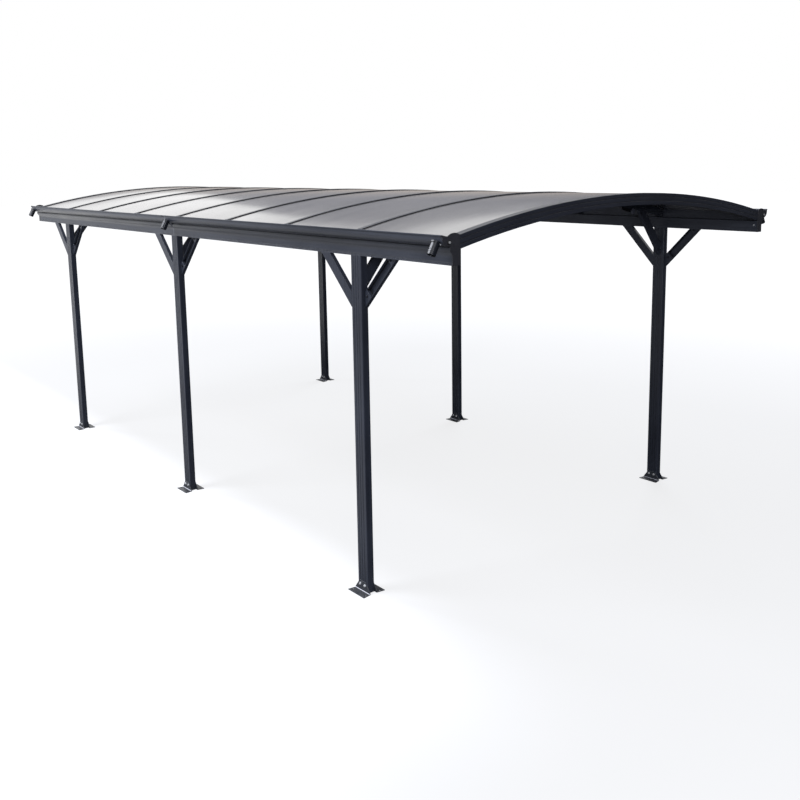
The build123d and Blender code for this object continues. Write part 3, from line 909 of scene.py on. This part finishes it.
def lighting_sky(tree, direction, split):
    """What lights the object: a pale dome, brightest high on the left and to the rear."""
    side = node(tree, "ShaderNodeVectorMath", {"operation": "DOT_PRODUCT"}, in0=direction,
                in1=(-0.70, 0.40, 0.60))
    facing = node(tree, "ShaderNodeMapRange", Value=side.outputs["Value"], in1=-0.5, in2=0.8,
                  in3=0.20, in4=1.0)
    high = node(tree, "ShaderNodeMapRange", smooth, Value=split.outputs["Z"],
                in1=0.10, in2=0.60, in3=0.08, in4=1.0)
    dome = node(tree, "ShaderNodeMath", times, in0=facing.outputs["Result"], in1=high.outputs["Result"])
    return node(tree, "ShaderNodeBackground", Color=colour("#D3DDF5"), Strength=dome.outputs[0]).outputs[0]


def sky():
    """White for the camera; a dome for the light and a skyline for the reflections."""
    world = bpy.data.worlds.new("sky")
    world.use_nodes = True
    tree = world.node_tree
    tree.nodes.clear()
    output = tree.nodes.new("ShaderNodeOutputWorld")
    path = node(tree, "ShaderNodeLightPath")
    direction = node(tree, "ShaderNodeTexCoord").outputs["Generated"]
    split = node(tree, "ShaderNodeSeparateXYZ", Vector=direction)
    white = node(tree, "ShaderNodeBackground", Color=colour("#FFFFFF"), Strength=1.0)
    lit = node(tree, "ShaderNodeMixShader", in0=path.outputs["Is Glossy Ray"],
               in1=lighting_sky(tree, direction, split), in2=reflected_sky(tree, split))
    final = node(tree, "ShaderNodeMixShader", in0=straight_view(tree, path), in1=lit.outputs[0],
                 in2=white.outputs[0])
    tree.links.new(final.outputs[0], output.inputs["Surface"])
    world.cycles.sampling_method = "NONE"
    bpy.context.scene.world = world
    return world


print("sky nodes", len(sky().node_tree.nodes))

# %% [markdown]
# Four soft lamps shape the frame. The key stands high on the left, and the fill lower, behind the
# camera. One on the right lifts the far side and is kept out of reflections, so that it leaves no
# glare on the roof. A small one behind lights the left side from the rear.


# %% Lamps
def soft_lamp(name, place, target, size, power):
    """A square area lamp that looks at a target."""
    lamp = bpy.data.lights.new(name, "AREA")
    lamp.size = size
    lamp.energy = power
    lamp.color = colour("#EEF2FC")[:3]
    holder = bpy.data.objects.new(name, lamp)
    aim = (Vector(target) - Vector(place)).to_track_quat("-Z", "Y")
    holder.matrix_world = Matrix.Translation(place) @ aim.to_matrix().to_4x4()
    bpy.context.collection.objects.link(holder)
    return holder


middle = (0, 0, 1.0)
soft_lamp("key_lamp", (-6.5, 1.5, 7.5), middle, size=4.0, power=760)
soft_lamp("fill_lamp", (-6.0, -9.0, 3.5), (0, -1.5, 1.2), size=3.0, power=360)
right_lamp = soft_lamp("right_lamp", (6.0, 2.5, 7.5), middle, size=4.0, power=480)
right_lamp.visible_glossy = False
soft_lamp("rim_lamp", (-4.5, 8.0, 6.5), (-1.4, -1.0, 1.0), size=1.6, power=240)
print("lamps", len(bpy.data.lights))

# %% [markdown]
# The floor is pale. For the camera it glows nearly white, and its own lit surface is added, so
# that open floor is white and the soft shadow of the roof and the feet still shows. For bounced
# light and reflections, light and shade are painted on it: a pale tone and glow on the open ground
# to the left, a glow far behind, and a dark tone in front and under the roof.


# %% Finish of the floor
def painted_lit_ground(tree, split):
    """Mask of painted light and shade: 1 on the ground to the left of the frame, 0 in front and under the
    roof.
    """
    left = node(tree, "ShaderNodeMapRange", smooth, Value=split.outputs["X"], in1=-1.0, in2=-1.8)
    past_front = node(tree, "ShaderNodeMapRange", smooth, Value=split.outputs["Y"], in1=-4.0, in2=-1.0)
    return node(tree, "ShaderNodeMath", times, in0=left.outputs["Result"],
                in1=past_front.outputs["Result"]).outputs[0]


def painted_floor_glow(tree, split, lit_ground):
    """Glow painted on the floor for reflections: dark in front and under the roof, pale beside the left
    posts, white far behind.
    """
    bearing = node(tree, "ShaderNodeMath", {"operation": "ARCTAN2"}, in0=split.outputs["X"],
                   in1=split.outputs["Y"])
    behind = node(tree, "ShaderNodeMapRange", smooth, Value=bearing.outputs[0],
                  in1=math.radians(-42), in2=math.radians(-24))
    beyond = node(tree, "ShaderNodeMapRange", smooth, Value=split.outputs["Y"], in1=3.0, in2=7.0)
    open_rear = node(tree, "ShaderNodeMath", times, in0=behind.outputs["Result"],
                     in1=beyond.outputs["Result"])
    near = node(tree, "ShaderNodeMapRange", smooth, Value=split.outputs["X"], in1=-9.0, in2=-5.0)
    near_left = node(tree, "ShaderNodeMath", times, in0=lit_ground, in1=near.outputs["Result"])
    pale = node(tree, "ShaderNodeMapRange", Value=near_left.outputs[0], in1=0.0, in2=1.0,
                in3=0.04, in4=0.48)
    paler = node(tree, "ShaderNodeMath", {"operation": "ADD"}, in0=pale.outputs["Result"],
                 in1=open_rear.outputs[0])
    return node(tree, "ShaderNodeEmission", Color=colour("#FFFFFF"), Strength=paler.outputs[0]).outputs[0]


def pale_floor():
    """White to the eye with the object's shadow; painted light and shade in bounced light and reflections.
    """
    made, tree, output = material("pale_floor")
    path = node(tree, "ShaderNodeLightPath")
    place = node(tree, "ShaderNodeTexCoord").outputs["Object"]
    split = node(tree, "ShaderNodeSeparateXYZ", Vector=place)
    lit_ground = painted_lit_ground(tree, split)
    # painted shade: the floor's tone is dark in front and under the roof, and pale on the open ground
    painted_ground_shade = node(tree, "ShaderNodeMix", in_colour, Factor=lit_ground,
                       in6=colour("#666666"), in7=colour("#D0D0D0"))
    matt = node(tree, "ShaderNodeBsdfDiffuse", Color=painted_ground_shade.outputs[2])
    length = node(tree, "ShaderNodeVectorMath", {"operation": "LENGTH"}, in0=place)
    lift = node(tree, "ShaderNodeMapRange", smooth, Value=length.outputs["Value"],
                in1=4.0, in2=11.0, in3=0.78, in4=1.0)
    glow = node(tree, "ShaderNodeEmission", Color=colour("#FFFFFF"), Strength=lift.outputs["Result"])
    bright = node(tree, "ShaderNodeAddShader", in0=matt.outputs[0], in1=glow.outputs[0])
    glossy = node(tree, "ShaderNodeMixShader", in0=path.outputs["Is Glossy Ray"], in1=matt.outputs[0],
                  in2=painted_floor_glow(tree, split, lit_ground))
    final = node(tree, "ShaderNodeMixShader", in0=straight_view(tree, path), in1=glossy.outputs[0],
                 in2=bright.outputs[0])
    tree.links.new(final.outputs[0], output.inputs["Surface"])
    made.cycles.emission_sampling = "NONE"
    return made


floor_finish = pale_floor()
print("floor nodes", len(floor_finish.node_tree.nodes))

# %% Floor
floor_size = 120
start_clean()
bpy.ops.mesh.primitive_plane_add(size=floor_size, location=(0, 0, 0))
ground = bpy.context.object
ground.name = "floor"
ground.data.materials.append(floor_finish)
print("floor size", [round(v) for v in ground.dimensions])

# %% [markdown]
# Last, the patterns are deleted, because only their copies belong to the object.

# %% Finish
for pattern in (foot_bolt, brace_bolt, cap_head, cap_washer, screw, bar, cover):
    bpy.data.objects.remove(pattern)
start_clean()
